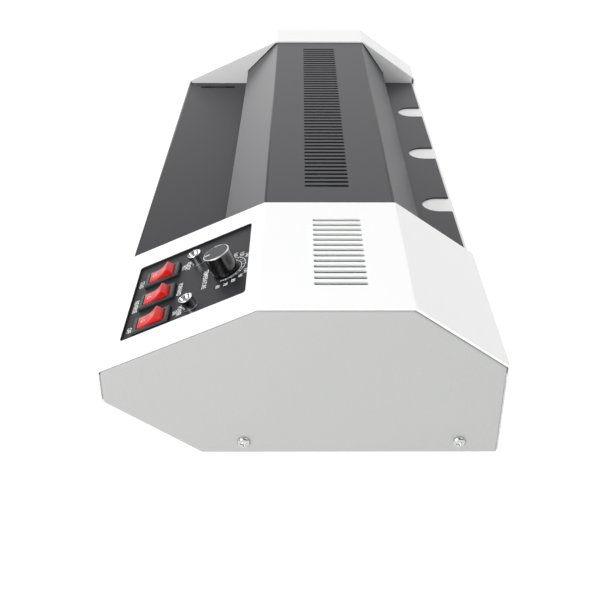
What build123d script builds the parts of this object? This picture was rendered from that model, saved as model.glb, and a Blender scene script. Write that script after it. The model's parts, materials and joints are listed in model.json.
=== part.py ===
"""Pouch laminator: a steel-cased, four-roller machine for sheets up to 330 mm wide.

Frame: millimetres. +X runs along the machine to the control end, -Y is the feed side,
+Y the exit side, +Z up. The origin is on the floor, under the middle of the machine.
"""
from build123d import *
import os
from math import acos, atan2, ceil, cos, degrees, hypot, pi, radians, sin, sqrt, tan

# ---------------------------------------------------------------- driving dimensions
LENGTH = 500.0              # over the two end plates
DEPTH = 206.0               # front lip to rear wall
FOOT_HEIGHT = 10.0
BODY_HEIGHT = 88.0          # case, without its feet
SHEET = 1.2                 # steel sheet of the case
BEND = 2.2                  # outside radius of a folded corner

LIP_BOTTOM = 34.0           # heights above the floor of the case
LIP_TOP = 51.5
REAR_CORNER = 54.0
UNDERCUT = 50.0             # how far the floor stops short of the front lip
TOP_FRONT = 80.5            # flat top, measured back from the front lip
TOP_REAR = 157.0

CONTROL_END = 119.5         # width of the end cover that carries the controls
FAR_END = 39.3              # width of the plain end cover
PLATE_GAP = 0.5             # shadow gap between an end plate and its cover
PLATE_FLANGE = 8.0

TABLE_TOP = 50.0            # feed table above the floor of the case
TABLE_FLANGE = 9.0          # its front edge, turned down
TRAY_TOP = 50.5
TABLE_SLOT = (4.0, 30.0)    # guide slot near each end of the feed table
TABLE_SLOT_INSET = 12.0     # from the inner wall
TABLE_SLOT_FRONT = 12.0     # from the table's front edge
LEDGE = 26.0                # inward fold of the rear wall, which carries the exit tray
TRAY_RIM = 3.0              # of that ledge left showing behind the tray
NOTCH_RADIUS = 11.0
NOTCH_DEPTH = 19.0
NOTCH_PITCH = 92.0

MOUTH_FRONT = (54.3, 61.3)  # lower edges of the middle cover: behind the lip, above the floor
MOUTH_REAR = (176.7, 58.8)
COVER_LAP = 3.0             # the middle cover runs this far under each end cover
COVER_CLEARANCE = 0.6       # round the middle cover where it passes through an inner wall

VENT_PITCH = 6.0
VENT_WIDTH = 3.0
VENT_LENGTH = 27.0
MIDDLE_VENTS = 50
MIDDLE_VENT_FRONT = 104.0   # front end of the slots, behind the lip
END_VENTS = 13
END_VENT_FRONT = 108.3
END_VENT_INSET = 24.0       # first slot, from the control end

WINDOW = (78.0, 71.7)       # opening for the control panel, along X and up the slope
WINDOW_INSET = 20.7         # from the control end
WINDOW_LOW = 9.5            # up the slope from the front lip
WINDOW_CORNER = 2.0
PANEL_SHEET = 1.5
PANEL_LAP = 4.0             # panel past its window, all round

SWITCH_BEZEL = (15.0, 21.0, 2.0)
SWITCH_BODY = (12.8, 18.8, 15.0)
SWITCH_PITCH = 24.0
SWITCH_SLOPE = 26.5         # switch centres, up the slope
SWITCH_DIVIDE = 54.5        # middle switch, from the control end
ROCKER_WIDTH = 9.6
ROCKER_RADIUS = 7.74        # end faces, about the rocker's pivot
ROCKER_EDGE_ANGLE = 37.0    # top edges, above the pivot's level
ROCKER_TILT = 14.5          # each way from level
ROCKER_DISH = 1.2
ROCKER_PIVOT = 2.4          # below the bezel's top
ROCKER_PIN = 1.0
ROCKER_CLEARANCE = 0.3
RUNNING = 0.05              # radial clearance of every turning fit

LAMP_SLOPE = 49.0
LAMP_RADIUS = 4.0
LAMP_HEIGHT = 6.0
LENS_RADIUS = 2.8

KNOB_SLOPE = 67.5
KNOB_RADIUS = 7.5
KNOB_HEIGHT = 12.2
KNOB_LIFT = 0.5             # gap under the knob
SHAFT_RADIUS = 3.0
BUSHING_RADIUS = 4.5
NUT_FLATS = 10.5

ROLLER_RADIUS = 12.35
CORE_RADIUS = 9.0
JOURNAL_RADIUS = 5.0
ROLLER_END_GAP = 3.6        # roller face to inner wall
NIP_GAP = 0.3
FRONT_NIP = 83.0            # behind the front lip
REAR_NIP = 148.0
NIP_ABOVE_TABLE = 1.0
FRAME_PLATE = 3.0
FRAME_GAP = 3.3             # inner wall to roller frame plate
BLOCK = (7.0, 15.4, 18.0)   # upper bearing block
BLOCK_CLEARANCE = 0.3
BUSH_RADIUS = 8.0
BUSH_LENGTH = 7.0
SPRING_RADIUS = 3.6
SPRING_WIRE = 0.6
SPRING_TURNS = 3

GEAR_WIDTH = 6.0
GEAR_OFFSET = 3.0           # frame plate to gears
ROLLER_TEETH = 25
PINION_TEETH = 15
BACKLASH = 0.16
IDLER_PIN = 4.0
MOTOR_RADIUS = 22.0
MOTOR_LENGTH = 32.0
MOTOR_SHAFT = 3.0
BRACKET_SHEET = 2.0
POST_RADIUS = 3.0

HEATING_PLATE = (35.0, 8.0)
POUCH_GAP = 2.0             # between the heating plates
HEATER = (25.0, 1.5)
HEAT_CHANNEL = (17.0, 19.0)
CHANNEL_WALL = 1.5
HEATER_STEP = 3.5           # upper heater's front edge, behind the middle of its plate
TIE_ROD = 3.0

FOOT_RADIUS = 9.0
FOOT_INSET_X = 28.0
FOOT_INSET_Y = 22.0
SCREW_HEAD = (3.3, 2.0)
SCREW_SHANK = 2.0
SCREW_LENGTH = 7.0
END_SCREWS = (71.8, 184.0)  # behind the front lip
END_SCREW_HEIGHT = 7.0      # above the floor of the case
END_FLANGE = 14.0

INLET = (28.0, 24.0)
INLET_CAVITY = (24.0, 17.0, 16.0)
INLET_INSET = 29.0          # from the control end
INLET_HEIGHT = 22.0         # above the floor of the case
FUSE_INSET = 56.0
FUSE_RADIUS = 7.5

# ---------------------------------------------------------------- derived places
FLOOR = FOOT_HEIGHT
FRONT = -DEPTH / 2
REAR = DEPTH / 2
TOP = FLOOR + BODY_HEIGHT
END = LENGTH / 2
CONTROL_WALL = END - CONTROL_END
FAR_WALL = -END + FAR_END
OPENING_MIDDLE = (CONTROL_WALL + FAR_WALL) / 2
SLOPE_ANGLE = degrees(atan2(BODY_HEIGHT - LIP_TOP, TOP_FRONT))
SLOPE = Plane(
    origin=(0, FRONT, FLOOR + LIP_TOP),
    x_dir=(1, 0, 0),
    z_dir=(0, -sin(radians(SLOPE_ANGLE)), cos(radians(SLOPE_ANGLE))),
).location                  # local x along X, y up the slope, z out of the cover

TABLE_Z = FLOOR + TABLE_TOP
TRAY_Z = FLOOR + TRAY_TOP
NIP_Z = TABLE_Z + NIP_ABOVE_TABLE
AXLE_DROP = ROLLER_RADIUS + NIP_GAP / 2
LOWER_Z = NIP_Z - AXLE_DROP
UPPER_Z = NIP_Z + AXLE_DROP
FRONT_Y = FRONT + FRONT_NIP
REAR_Y = FRONT + REAR_NIP
ROLLER_LEFT = FAR_WALL + ROLLER_END_GAP
ROLLER_RIGHT = CONTROL_WALL - ROLLER_END_GAP
LEFT_PLATE = FAR_WALL - SHEET - FRAME_GAP - FRAME_PLATE
RIGHT_PLATE = CONTROL_WALL + SHEET + FRAME_GAP
GEAR_X = RIGHT_PLATE + FRAME_PLATE + GEAR_OFFSET
JOURNAL_END = GEAR_X + GEAR_WIDTH + 1.0
BRACKET_X = JOURNAL_END + 2.0
GEAR_MODULE = 2 * AXLE_DROP / ROLLER_TEETH      # each roller's gear meshes with the one above it
IDLER_TEETH = ceil((REAR_Y - FRONT_Y) / GEAR_MODULE - ROLLER_TEETH - 0.001)
IDLER_REACH = GEAR_MODULE * (IDLER_TEETH + ROLLER_TEETH) / 2
IDLER_Y = (FRONT_Y + REAR_Y) / 2
IDLER_DROP = sqrt(max(0.0, IDLER_REACH ** 2 - (REAR_Y - IDLER_Y) ** 2))
IDLER_Z = LOWER_Z - IDLER_DROP
IDLER_ANGLE = degrees(atan2(IDLER_DROP, REAR_Y - IDLER_Y))
PINION_Y = REAR_Y + GEAR_MODULE * (ROLLER_TEETH + PINION_TEETH) / 2

PANEL_TOP = -SHEET          # heights out of the slope
BEZEL_TOP = PANEL_TOP + SWITCH_BEZEL[2]
PIVOT = BEZEL_TOP - ROCKER_PIVOT
CONTROL_X = END - SWITCH_DIVIDE
SWITCHES = {
    "heat": CONTROL_X - SWITCH_PITCH,
    "direction": CONTROL_X,
    "power": CONTROL_X + SWITCH_PITCH,
}
LAMPS = {"ready": CONTROL_X - SWITCH_PITCH, "power": CONTROL_X + SWITCH_PITCH}

SIDES = ("lip", "front_slope", "top", "rear_slope", "rear", "floor", "undercut")
CORNERS = (
    (FRONT, FLOOR + LIP_BOTTOM),
    (FRONT, FLOOR + LIP_TOP),
    (FRONT + TOP_FRONT, TOP),
    (FRONT + TOP_REAR, TOP),
    (REAR, FLOOR + REAR_CORNER),
    (REAR, FLOOR),
    (FRONT + UNDERCUT, FLOOR),
)
FOLDS = (1, 2, 3, 4)        # corners that the folded covers go round


# ---------------------------------------------------------------- drawing helpers
def outline(**inset):
    """The case's (Y, Z) outline, each named side moved inwards by its own amount."""
    lines = []
    for index, side in enumerate(SIDES):
        y0, z0 = CORNERS[index]
        y1, z1 = CORNERS[(index + 1) % len(CORNERS)]
        run = hypot(y1 - y0, z1 - z0)
        dy, dz = (y1 - y0) / run, (z1 - z0) / run
        move = inset.get(side, 0.0)
        lines.append((y0 + dz * move, z0 - dy * move, dy, dz))
    points = []
    for index, (y1, z1, dy1, dz1) in enumerate(lines):
        y0, z0, dy0, dz0 = lines[index - 1]
        step = ((y1 - y0) * dz1 - (z1 - z0) * dy1) / (dy0 * dz1 - dz0 * dy1)
        points.append((y0 + dy0 * step, z0 + dz0 * step))
    return points


def sketch(points, radius=0.0, corners=()):
    """A closed polygon, with the listed corners rounded."""
    face = make_face(Polyline(*points, close=True))
    if radius > 0 and corners:
        places = [Vector(*points[corner]) for corner in corners]
        picked = [v for v in face.vertices() if min((Vector(v) - p).length for p in places) < 1e-4]
        face = fillet(picked, radius)
    return face


def slab(face, x_start, x_end):
    """A (Y, Z) sketch drawn out along X."""
    return extrude(Pos(x_start, 0, 0) * (Plane.YZ * face), x_end - x_start, dir=(1, 0, 0))


def block(x_span, y_span, z_span):
    """A box between two X, two Y and two Z values."""
    spans = (x_span, y_span, z_span)
    middle = [(low + high) / 2 for low, high in spans]
    return Pos(*middle) * Box(*[high - low for low, high in spans])


def rod(x_start, x_end, y, z, radius):
    """A round bar along X."""
    return Pos((x_start + x_end) / 2, y, z) * Rot(0, 90, 0) * Cylinder(radius, x_end - x_start)


def post(x, y, z_start, z_end, radius):
    """A round bar along Z."""
    return Pos(x, y, (z_start + z_end) / 2) * Cylinder(radius, z_end - z_start)


def on_slope(x, up, out, shape):
    """Place a shape by its centre: along X, up the front slope, out of the cover."""
    return SLOPE * Pos(x, up, out) * shape


def slots(first_x, count, front_y):
    """A row of round-cornered vent slots through the flat top."""
    corner = VENT_WIDTH * 0.3
    slot = extrude(RectangleRounded(VENT_WIDTH, VENT_LENGTH, corner), 4 * SHEET, both=True)
    y = front_y + VENT_LENGTH / 2
    return [Pos(first_x + VENT_PITCH * i, y, TOP - SHEET) * slot for i in range(count)]


def save(name, shape):
    """Write one named piece."""
    export_step(shape, "parts/" + name + ".step")


# ---------------------------------------------------------------- the case
def base_tray():
    """Floor, sloped undercut, front lip and rear wall with its ledge, folded from one sheet."""
    outer = sketch(outline(lip=SHEET, rear=SHEET), BEND, (0, 5, 6))
    inner = sketch(
        outline(lip=2 * SHEET, rear=2 * SHEET, floor=SHEET, undercut=SHEET),
        BEND - SHEET, (0, 5, 6),
    )
    length = (-END + SHEET, END - SHEET)
    tray = slab(outer - inner, *length)
    rim_y = (FRONT - 1, 0.0)
    tray -= block((-END, END), rim_y, (TABLE_Z - SHEET, TOP + 1))
    tray -= block((-END, END), (0.0, REAR + 1), (TRAY_Z - SHEET, TOP + 1))
    ledge_y = (REAR - SHEET - LEDGE, REAR - SHEET)
    ledge_z = (TRAY_Z - 2 * SHEET, TRAY_Z - SHEET)
    tray += block((FAR_WALL + 0.2, CONTROL_WALL - 0.2), ledge_y, ledge_z)
    flange_y = (FRONT + UNDERCUT + 4, REAR - SHEET)
    flange_z = (FLOOR, FLOOR + END_FLANGE)
    tray += block((END - 2 * SHEET, END - SHEET), flange_y, flange_z)
    tray += block((-END + SHEET, -END + 2 * SHEET), flange_y, flange_z)
    for x, y in foot_places():
        tray -= post(x, y, FLOOR - 1, FLOOR + SHEET + 1, SCREW_SHANK)
    for x, y, turn in end_screw_places():
        tray -= rod(x - 5, x + 5, y, FLOOR + END_SCREW_HEIGHT, SCREW_SHANK)
    for cut in rear_cuts():
        tray -= cut
    return tray


def end_cover(x_start, x_end):
    """Lip, front slope, top, rear slope and rear wall, folded from one sheet."""
    outer = sketch(outline(), BEND, FOLDS)
    inside = outline(
        lip=SHEET, front_slope=SHEET, top=SHEET, rear_slope=SHEET, rear=SHEET,
        floor=-SHEET, undercut=-SHEET,
    )
    inner = sketch(inside, BEND - SHEET, FOLDS)
    return slab(outer - inner, x_start, x_end)


def control_end_cover():
    cover = end_cover(CONTROL_WALL, END)
    first = END - END_VENT_INSET - VENT_PITCH * (END_VENTS - 1)
    cover -= slots(first, END_VENTS, FRONT + END_VENT_FRONT)
    window = extrude(RectangleRounded(*WINDOW, WINDOW_CORNER), 3 * SHEET, both=True)
    cover -= on_slope(END - WINDOW_INSET - WINDOW[0] / 2, WINDOW_LOW + WINDOW[1] / 2, 0, window)
    for cut in rear_cuts():
        cover -= cut
    return cover


def far_end_cover():
    cover = end_cover(-END, FAR_WALL)
    for cut in rear_cuts():
        cover -= cut
    return cover


def end_plate(side):
    """Flat plate in the end of a cover, with an inward flange along the slopes and the top."""
    inset = SHEET + PLATE_GAP
    edges = {"lip": inset, "front_slope": inset, "top": inset, "rear_slope": inset, "rear": inset}
    outer = sketch(outline(**edges), BEND, FOLDS)
    face = slab(outer, END - SHEET, END)
    deeper = {name: value + SHEET for name, value in edges.items()}
    inner = sketch(outline(**deeper), BEND - SHEET, FOLDS)
    flange = slab(outer - inner, END - PLATE_FLANGE, END - SHEET)
    flange &= block((0, END), (FRONT, REAR), (FLOOR + REAR_CORNER, TOP))
    plate = face + flange
    edge_of_face = [
        edge for edge in plate.edges().filter_by(lambda e: abs(e.center().X - END) < 1e-4)
        if edge.center().Z > FLOOR + LIP_BOTTOM + 1 or edge.center().Y > REAR - 2 * inset
    ]
    plate = fillet(edge_of_face, SHEET * 0.8)
    for x, y, turn in end_screw_places():
        if x > 0:
            plate -= rod(x - 5, x + 5, y, FLOOR + END_SCREW_HEIGHT, SCREW_SHANK)
    return plate if side > 0 else mirror(plate, Plane.YZ)


def inner_wall(x_start):
    """Wall that closes an end cover towards the opening, cut out round the rollers' housing."""
    wall = slab(
        sketch(outline(
            lip=2 * SHEET, front_slope=SHEET, top=SHEET, rear_slope=SHEET,
            rear=2 * SHEET, floor=SHEET, undercut=SHEET,
        ), BEND, (0, 1, 2, 3, 4, 5, 6)),
        x_start, x_start + SHEET,
    )
    front_edge, front_top, rear_top, rear_edge = cover_line(COVER_CLEARANCE)
    low = LOWER_Z - JOURNAL_RADIUS - 8
    opening = [
        front_edge, front_top, (front_top[0], TOP + 1), (rear_top[0], TOP + 1), rear_top, rear_edge,
        (rear_edge[0] - 8, TRAY_Z), (rear_edge[0] - 8, low), (FRONT_Y - 14, low),
        (FRONT_Y - 14, TABLE_Z), (front_edge[0], TABLE_Z),
    ]
    wall -= slab(sketch(opening), x_start - 1, x_start + SHEET + 1)
    for y, z in tie_rod_places():
        wall -= rod(x_start - 1, x_start + SHEET + 1, y, z, TIE_ROD + 0.5)
    return wall


def cover_line(grow):
    """Section of the middle cover: front edge, two top corners, rear edge, moved outwards."""
    under = outline(front_slope=SHEET, top=SHEET, rear_slope=SHEET)
    return [
        (FRONT + MOUTH_FRONT[0] - grow, FLOOR + MOUTH_FRONT[1]),
        (under[2][0] - grow, under[2][1] + grow),
        (under[3][0] + grow, under[3][1] + grow),
        (FRONT + MOUTH_REAR[0] + grow, FLOOR + MOUTH_REAR[1]),
    ]


def middle_cover():
    """Black cover over the rollers, with a long row of vents along its top."""
    line = cover_line(0.0)
    outer = sketch(line, BEND, (1, 2))
    inner = sketch(inside_line(line, SHEET), BEND - SHEET, (1, 2))
    cover = slab(outer - inner, FAR_WALL - COVER_LAP, CONTROL_WALL + COVER_LAP)
    first = OPENING_MIDDLE - VENT_PITCH * (MIDDLE_VENTS - 1) / 2 - 3.0
    return cover - slots(first, MIDDLE_VENTS, FRONT + MIDDLE_VENT_FRONT)


def inside_line(points, wall):
    """Three-sided line moved inwards by the wall, run out past its two open ends."""
    (y0, z0), (y1, z1), (y2, z2), (y3, z3) = points
    rise_front = hypot(y1 - y0, z1 - z0)
    rise_rear = hypot(y3 - y2, z3 - z2)
    front = (y1 - y0) / rise_front, (z1 - z0) / rise_front
    rear = (y3 - y2) / rise_rear, (z3 - z2) / rise_rear
    top = z1 - wall
    inner_front = y0 + front[1] * wall, z0 - front[0] * wall
    inner_rear = y3 + rear[1] * wall, z3 - rear[0] * wall
    at_front = inner_front[0] + (top - inner_front[1]) * front[0] / front[1]
    at_rear = inner_rear[0] + (top - inner_rear[1]) * rear[0] / rear[1]
    past = 4 * wall
    return [
        (inner_front[0] - front[0] * past, inner_front[1] - front[1] * past),
        (at_front, top),
        (at_rear, top),
        (inner_rear[0] + rear[0] * past, inner_rear[1] + rear[1] * past),
    ]


def feed_table():
    """Flat infeed table with its front edge turned down over the lip."""
    inner_edge = FRONT_Y - sqrt(ROLLER_RADIUS ** 2 - (AXLE_DROP - NIP_ABOVE_TABLE) ** 2) - 5
    section = [
        (FRONT, TABLE_Z - TABLE_FLANGE), (FRONT, TABLE_Z), (inner_edge, TABLE_Z),
        (inner_edge, TABLE_Z - SHEET), (FRONT + SHEET, TABLE_Z - SHEET),
        (FRONT + SHEET, TABLE_Z - TABLE_FLANGE),
    ]
    face = sketch(section, BEND * 0.7, (1,))
    table = slab(face, FAR_WALL + 0.3, CONTROL_WALL - 0.3)
    slot = Box(TABLE_SLOT[0], TABLE_SLOT[1], 4 * SHEET)
    y = FRONT + TABLE_SLOT_FRONT + TABLE_SLOT[1] / 2
    for x in (FAR_WALL + TABLE_SLOT_INSET, CONTROL_WALL - TABLE_SLOT_INSET):
        table -= Pos(x, y, TABLE_Z) * slot
    return table


def exit_tray():
    """Flat delivery tray with three finger notches in its rear edge."""
    inner_edge = REAR_Y + 10.0
    outer_edge = REAR - TRAY_RIM
    span = (FAR_WALL + 0.3, CONTROL_WALL - 0.3)
    tray = block(span, (inner_edge, outer_edge), (TRAY_Z - SHEET, TRAY_Z))
    tip = outer_edge - NOTCH_DEPTH
    for step in (-1, 0, 1):
        x = OPENING_MIDDLE + step * NOTCH_PITCH
        tray -= post(x, tip + NOTCH_RADIUS, TRAY_Z - 2 * SHEET, TRAY_Z + SHEET, NOTCH_RADIUS)
        tray -= block(
            (x - NOTCH_RADIUS, x + NOTCH_RADIUS),
            (tip + NOTCH_RADIUS, REAR),
            (TRAY_Z - 2 * SHEET, TRAY_Z + SHEET),
        )
    return tray


# ---------------------------------------------------------------- fasteners, feet, sockets
def end_screw_places():
    return [(side * END, FRONT + y, side) for side in (-1, 1) for y in END_SCREWS]


def foot_places():
    front = FRONT + UNDERCUT + FOOT_INSET_Y
    return [(x, y) for x in (-END + FOOT_INSET_X, END - FOOT_INSET_X) for y in (front, REAR - FOOT_INSET_Y)]


def cover_screw_places():
    height = FLOOR + END_SCREW_HEIGHT
    xs = (-END + 12, FAR_WALL - 12, CONTROL_WALL + 12, END - 12)
    return [(x, height) for x in xs]


def rear_cuts():
    """Holes through the rear wall: inlet, fuse holder and cover screws."""
    depth = 4 * SHEET
    cuts = []
    centre = (END - INLET_INSET, REAR, FLOOR + INLET_HEIGHT)
    cuts.append(Pos(*centre) * Box(INLET[0] - 2, depth, INLET[1] - 2))
    cuts.append(Pos(END - FUSE_INSET, REAR, FLOOR + INLET_HEIGHT) * Rot(90, 0, 0)
                * Cylinder(FUSE_RADIUS - 1.5, depth))
    for x, z in cover_screw_places():
        cuts.append(Pos(x, REAR, z) * Rot(90, 0, 0) * Cylinder(SCREW_SHANK, 3 * depth))
    return cuts


def screw():
    """Pan-head screw with a cross slot: head above the local XY plane, shank below it."""
    radius, height = SCREW_HEAD
    head = Pos(0, 0, height / 2) * Cylinder(radius, height)
    head = fillet(head.edges().group_by(Axis.Z)[-1], height * 0.6)
    shank = Pos(0, 0, -SCREW_LENGTH / 2) * Cylinder(SCREW_SHANK - 0.05, SCREW_LENGTH)
    cross = Box(3.2, 0.8, 1.6) + Box(0.8, 3.2, 1.6)
    return head + shank - Pos(0, 0, height) * cross


def end_plate_screws():
    return [
        Pos(x, y, FLOOR + END_SCREW_HEIGHT) * Rot(0, 90 * turn, 0) * screw()
        for x, y, turn in end_screw_places()
    ]


def cover_screws():
    return [Pos(x, REAR, z) * Rot(-90, 0, 0) * screw() for x, z in cover_screw_places()]


def rubber_feet():
    feet = []
    for x, y in foot_places():
        foot = Pos(x, y, FOOT_HEIGHT / 2) * Cone(FOOT_RADIUS * 0.85, FOOT_RADIUS, FOOT_HEIGHT)
        well = post(x, y, -1, FOOT_HEIGHT * 0.55, SCREW_HEAD[0] + 0.6)
        hole = post(x, y, 0, FOOT_HEIGHT + 1, SCREW_SHANK)
        feet.append(foot - well - hole)
    return feet


def foot_screws():
    seat = FOOT_HEIGHT * 0.55
    return [Pos(x, y, seat) * Rot(180, 0, 0) * screw() for x, y in foot_places()]


def mains_inlet():
    """Three-pin appliance inlet, set in the rear wall."""
    x = END - INLET_INSET
    z = FLOOR + INLET_HEIGHT
    width, height, depth = INLET_CAVITY
    flange = block(
        (x - INLET[0] / 2, x + INLET[0] / 2), (REAR, REAR + 2.0), (z - INLET[1] / 2, z + INLET[1] / 2)
    )
    body = block(
        (x - INLET[0] / 2 + 1.2, x + INLET[0] / 2 - 1.2),
        (REAR - depth - 2, REAR),
        (z - INLET[1] / 2 + 1.2, z + INLET[1] / 2 - 1.2),
    )
    cavity = Pos(x, REAR + 2 - depth / 2, z) * Box(width, depth, height)
    inlet = flange + body - cavity
    for dx, dz in ((-7, -2), (0, 2), (7, -2)):
        inlet += Pos(x + dx, REAR + 2 - depth + 6, z + dz) * Box(2, 12, 4)
    return inlet


def fuse_holder():
    x = END - FUSE_INSET
    z = FLOOR + INLET_HEIGHT
    turn = Rot(-90, 0, 0)
    cap = Pos(x, REAR + 0.75, z) * turn * Cylinder(FUSE_RADIUS, 1.5)
    grip = Pos(x, REAR + 1.5, z) * turn * Cylinder(FUSE_RADIUS * 0.7, 3.0)
    body = Pos(x, REAR - 10, z) * turn * Cylinder(FUSE_RADIUS - 1.6, 20)
    return cap + grip + body


# ---------------------------------------------------------------- the control panel
def control_panel():
    """Black plate behind the window, with the holes for everything that it carries."""
    x = END - WINDOW_INSET - WINDOW[0] / 2
    up = WINDOW_LOW + WINDOW[1] / 2
    size = (WINDOW[0] + 2 * PANEL_LAP, WINDOW[1] + PANEL_LAP, PANEL_SHEET)
    panel = on_slope(x, up, PANEL_TOP - PANEL_SHEET / 2, Box(*size))
    for switch_x in SWITCHES.values():
        panel -= on_slope(switch_x, SWITCH_SLOPE, PANEL_TOP, Box(SWITCH_BODY[0], SWITCH_BODY[1], 6))
    for lamp_x in LAMPS.values():
        panel -= on_slope(lamp_x, LAMP_SLOPE, PANEL_TOP, Cylinder(LAMP_RADIUS - 0.8, 6))
    return panel - on_slope(CONTROL_X, KNOB_SLOPE, PANEL_TOP, Cylinder(BUSHING_RADIUS, 6))


def switch_housing(x):
    """Snap-in rocker switch: bezel on the panel, body and three blades behind it."""
    bezel_x, bezel_y, bezel_z = SWITCH_BEZEL
    body_x, body_y, body_z = SWITCH_BODY
    bezel = Pos(0, 0, PANEL_TOP + bezel_z / 2) * Box(bezel_x, bezel_y, bezel_z)
    bezel = chamfer(bezel.edges().group_by(Axis.Z)[-1], 0.6)
    body = Pos(0, 0, PANEL_TOP - body_z / 2) * Box(body_x, body_y, body_z)
    half = ROCKER_RADIUS + ROCKER_CLEARANCE
    width = ROCKER_WIDTH + 2 * ROCKER_CLEARANCE
    depth = ROCKER_RADIUS + ROCKER_PIVOT + 0.5
    housing = bezel + body - Pos(0, 0, BEZEL_TOP - depth / 2 + 0.01) * Box(width, 2 * half, depth + 0.02)
    pin_hole = Rot(0, 90, 0) * Cylinder(ROCKER_PIN + RUNNING, width + 2.0)
    housing -= Pos(0, 0, PIVOT) * pin_hole
    for up in (-6, 0, 6):
        housing += Pos(0, up, PANEL_TOP - body_z - 3) * Box(5, 0.8, 6)
    return on_slope(x, SWITCH_SLOPE, 0, housing)


def rocker(x):
    """Rocker with a dished top and round end faces, resting with its front end down."""
    edge = radians(ROCKER_EDGE_ANGLE)
    low = radians(-10)
    radius = ROCKER_RADIUS
    right_edge = (radius * cos(edge), radius * sin(edge))
    right_low = (radius * cos(low), radius * sin(low))
    right_middle = (radius * cos((edge + low) / 2), radius * sin((edge + low) / 2))
    left = [(-y, z) for y, z in (right_edge, right_middle, right_low)]
    face = make_face([
        ThreePointArc(right_low, right_middle, right_edge),
        ThreePointArc(right_edge, (0, right_edge[1] - ROCKER_DISH), left[0]),
        ThreePointArc(left[0], left[1], left[2]),
        Polyline(left[2], (-radius / 2, -radius * 0.8), (radius / 2, -radius * 0.8), right_low),
    ])
    body = extrude(Plane.YZ * face, ROCKER_WIDTH / 2, both=True, dir=(1, 0, 0))
    top_edges = [
        e for e in body.edges()
        if e.center().Z > right_edge[1] - ROCKER_DISH - 0.1 and abs(e.center().Y) < right_edge[0] + 0.1
    ]
    body = fillet(top_edges, 0.4)
    pins = Rot(0, 90, 0) * Cylinder(ROCKER_PIN, ROCKER_WIDTH + 2 * ROCKER_CLEARANCE + 1.4)
    return on_slope(x, SWITCH_SLOPE, PIVOT, Rot(ROCKER_TILT, 0, 0) * (body + pins))


def temperature_knob():
    """Round knob on the shaft, hollow underneath to clear the nut."""
    low = PANEL_TOP + KNOB_LIFT
    high = PANEL_TOP + KNOB_HEIGHT
    nut_room = 4.0
    knob = Pos(0, 0, (low + high) / 2) * Cone(KNOB_RADIUS, KNOB_RADIUS * 0.97, high - low)
    knob = fillet(knob.edges().group_by(Axis.Z)[-1], 0.5)
    hollow = Pos(0, 0, low + nut_room / 2) * Cylinder(KNOB_RADIUS - 0.9, nut_room)
    bore_top = high - 2.0
    bore = Pos(0, 0, (low + bore_top) / 2) * Cylinder(SHAFT_RADIUS, bore_top - low)
    return on_slope(CONTROL_X, KNOB_SLOPE, 0, knob - hollow - bore)


def control_shaft():
    top = PANEL_TOP + KNOB_HEIGHT - 2.0
    bottom = PANEL_TOP - PANEL_SHEET - 6.0
    return on_slope(CONTROL_X, KNOB_SLOPE, (top + bottom) / 2, Cylinder(SHAFT_RADIUS, top - bottom))


def temperature_control():
    """Rotary control behind the panel, with a bushing that comes through it."""
    under = PANEL_TOP - PANEL_SHEET
    body = Pos(0, 0, under - 5) * Cylinder(12, 10)
    bushing_top = PANEL_TOP + 3.0
    bushing = Pos(0, 0, (under + bushing_top) / 2) * Cylinder(BUSHING_RADIUS, bushing_top - under)
    bore = Pos(0, 0, (bushing_top + under - 6.2) / 2) * Cylinder(
        SHAFT_RADIUS + RUNNING, bushing_top - under + 6.2
    )
    lugs = Pos(0, -13, under - 5) * Box(12, 6, 0.8)
    return on_slope(CONTROL_X, KNOB_SLOPE, 0, body + bushing - bore + lugs)


def control_nut():
    nut = extrude(RegularPolygon(NUT_FLATS / 2, 6, major_radius=False), 2.2)
    nut -= Cylinder(BUSHING_RADIUS, 6)
    return on_slope(CONTROL_X, KNOB_SLOPE, PANEL_TOP, nut)


def lamp_bezel(x):
    """Chrome lamp holder: foot, tube with a rolled rim, threaded tail and its nut."""
    foot = Pos(0, 0, 0.5) * Cylinder(LAMP_RADIUS + 0.7, 1.0)
    tube = Pos(0, 0, LAMP_HEIGHT / 2) * Cylinder(LAMP_RADIUS, LAMP_HEIGHT)
    tube = fillet(tube.edges().group_by(Axis.Z)[-1], 0.4)
    tail = Pos(0, 0, -5) * Cylinder(LAMP_RADIUS - 0.8, 10)
    nut = Pos(0, 0, -PANEL_SHEET - 1.25) * Cylinder(LAMP_RADIUS + 1.5, 2.5)
    bore = Pos(0, 0, 2) * Cylinder(LENS_RADIUS, 2 * LAMP_HEIGHT)
    return on_slope(x, LAMP_SLOPE, PANEL_TOP, foot + tube + tail + nut - bore)


def lamp_lens(x):
    """Clear lamp body with a domed end, just below the rim."""
    tail = Pos(0, 0, 0) * Cylinder(LENS_RADIUS, 2 * (LAMP_HEIGHT - 2.5))
    dome = Pos(0, 0, LAMP_HEIGHT - 2.5) * Sphere(LENS_RADIUS)
    floor = Pos(0, 0, -LAMP_HEIGHT) * Box(20, 20, 2 * (LAMP_HEIGHT - 3.5))
    return on_slope(x, LAMP_SLOPE, PANEL_TOP, tail + dome - floor)


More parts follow.
